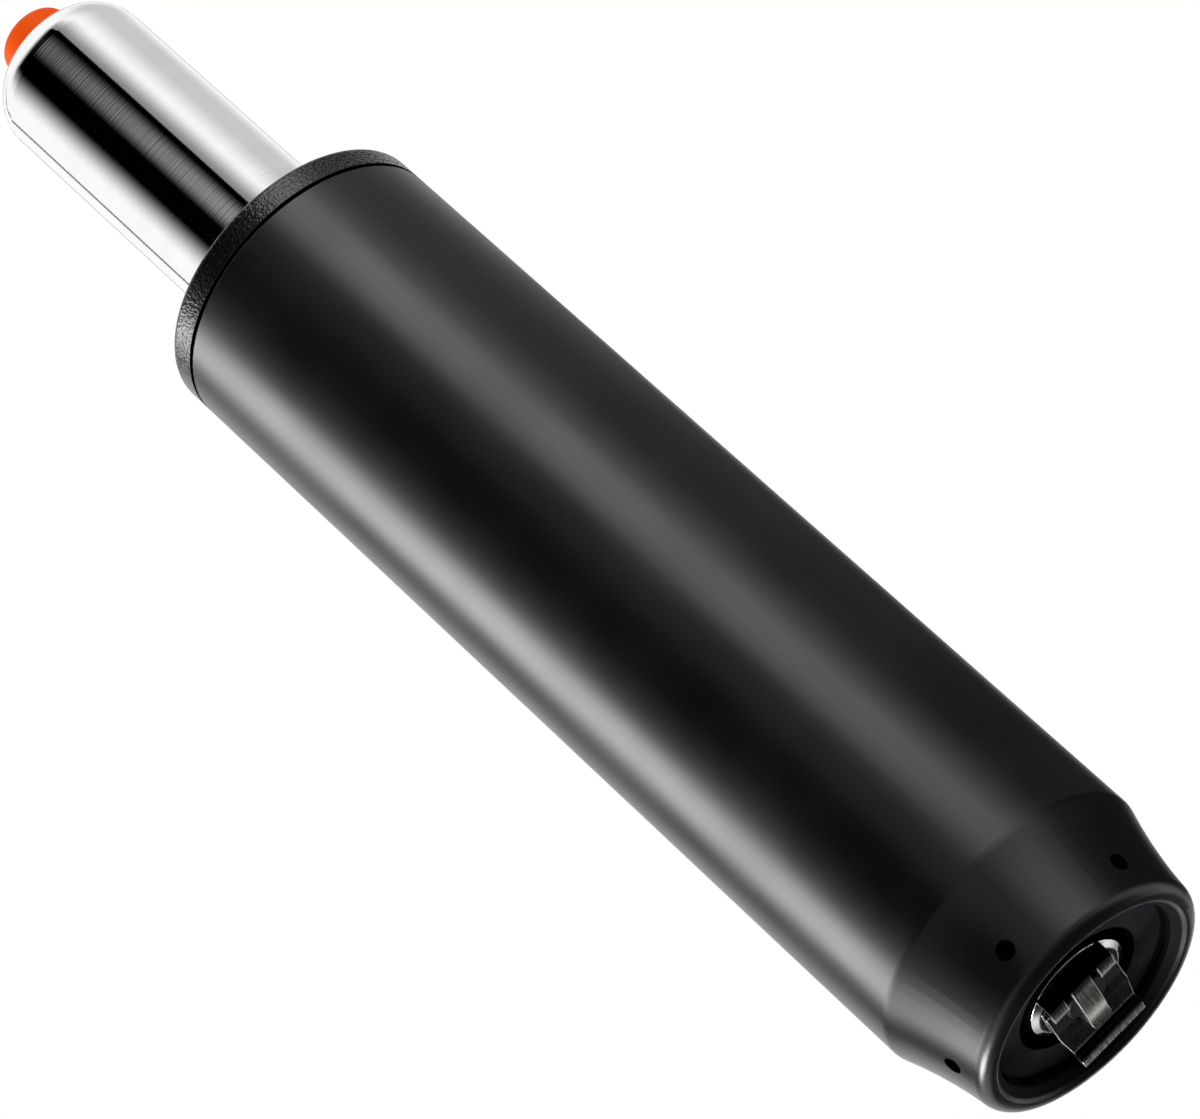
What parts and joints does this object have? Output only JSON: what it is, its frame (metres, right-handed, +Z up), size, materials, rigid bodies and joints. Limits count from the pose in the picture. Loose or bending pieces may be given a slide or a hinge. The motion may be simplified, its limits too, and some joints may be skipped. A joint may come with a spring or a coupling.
{
  "type": "chair gas lift cylinder",
  "caption": "Height adjustment gas lift for a swivel chair: black outer tube with a guide collar, sliding chromed cylinder with an orange release button, thrust bearing and clip below",
  "frame": {"origin": "on the lift's axis, in the plane of the outer tube's rim, which the lift stands on", "axes": "+Z up along the axis from the rim to the release button; -Y is the side that the holes' first turn is counted from"},
  "size_m": [0.05, 0.05, 0.2594],
  "materials": {
    "tube_coating": "satin black powder coat with a fine orange peel",
    "bush_plastic": "moulded black plastic with a fine leather-like grain",
    "chrome": "polished hard chrome with faint lines round the tube",
    "button_plastic": "satin orange moulded plastic",
    "plate_steel": "dark phosphated steel, slightly oily",
    "washer_steel": "bright zinc plate, turned",
    "spring_steel": "dark tempered spring steel with bright sheared edges",
    "rod_steel": "ground and hard chromed steel",
    "bearing_steel": "ground bearing steel",
    "cage_brass": "pressed brass",
    "rubber": "black nitrile rubber",
    "guide_plastic": "natural acetal, matt",
    "tube_steel": "drawn precision steel tube",
    "valve_aluminium": "turned, satin"
  },
  "bodies": {
    "column": {"outer_tube": "tube_coating", "guide_bush": "bush_plastic", "bottom_plate": "plate_steel", "lower_race": "bearing_steel"},
    "rod": {"piston_rod": "rod_steel", "end_washer": "washer_steel", "retaining_clip": "spring_steel", "upper_race": "bearing_steel", "buffer_washer": "washer_steel", "buffer": "rubber", "piston": "valve_aluminium", "piston_seal": "rubber", "piston_washer": "washer_steel"},
    "bearing_cage": {"ball_cage": "cage_brass", "bearing_balls": "bearing_steel"},
    "cylinder": {"cylinder_sleeve": "chrome", "rod_guide": "guide_plastic", "rod_seal": "rubber", "tube_seat": "guide_plastic", "stop_tube": "guide_plastic", "inner_tube": "tube_steel", "valve_body": "valve_aluminium", "valve_o_rings": "rubber", "pin_seal": "rubber"},
    "button": {"release_button": "button_plastic", "valve_pin": "rod_steel"}
  },
  "joints": [
    {"name": "swivel", "type": "hinge", "parent": "column", "child": "rod", "pos_m": [0, 0, 0.0122], "axis": [0, 0, 1], "continuous": true},
    {"name": "cage_turn", "type": "hinge", "parent": "column", "child": "bearing_cage", "pos_m": [0, 0, 0.0122], "axis": [0, 0, 1], "continuous": true},
    {"name": "lift", "type": "slide", "parent": "rod", "child": "cylinder", "axis": [0, 0, 1], "range_m": [0, 0.08]},
    {"name": "button_press", "type": "slide", "parent": "cylinder", "child": "button", "axis": [0, 0, 1], "range_m": [-0.003, 0], "stiffness_N_per_m": 2000, "springref_m": 0.001}
  ],
  "couplings": [
    {"joint": "cage_turn", "follows": "swivel", "ratio": 0.5}
  ]
}
